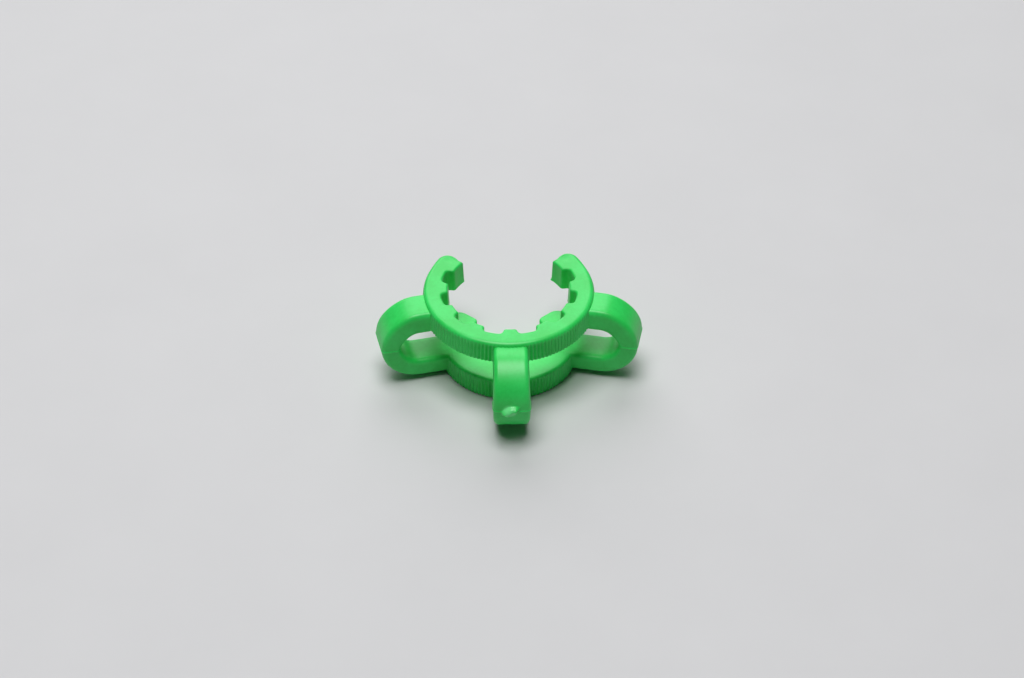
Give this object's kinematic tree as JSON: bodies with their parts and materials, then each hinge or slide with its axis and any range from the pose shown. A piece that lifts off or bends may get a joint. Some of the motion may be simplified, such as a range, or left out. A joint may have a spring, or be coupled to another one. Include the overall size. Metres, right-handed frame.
{
  "type": "ground glass joint clip",
  "caption": "One-piece moulded plastic spring clip for a ground glass joint: a wide toothed C-ring and a narrow plain C-ring held together by band-shaped spring loops.",
  "frame": {"origin": "axis of both rings, at the underside of the narrow ring, which the clip stands on", "axes": "+Z along the glassware's axis, from the narrow ring to the wide ring; +Y out of the rings' open mouths; +X to the right seen from behind the middle loop"},
  "size_m": [0.029, 0.0206, 0.0096],
  "materials": {
    "green_acetal": "satin moulded acetal, faint draw marks and a gate vestige"
  },
  "bodies": {
    "root": {"joint_clip": "green_acetal"}
  },
  "joints": []
}
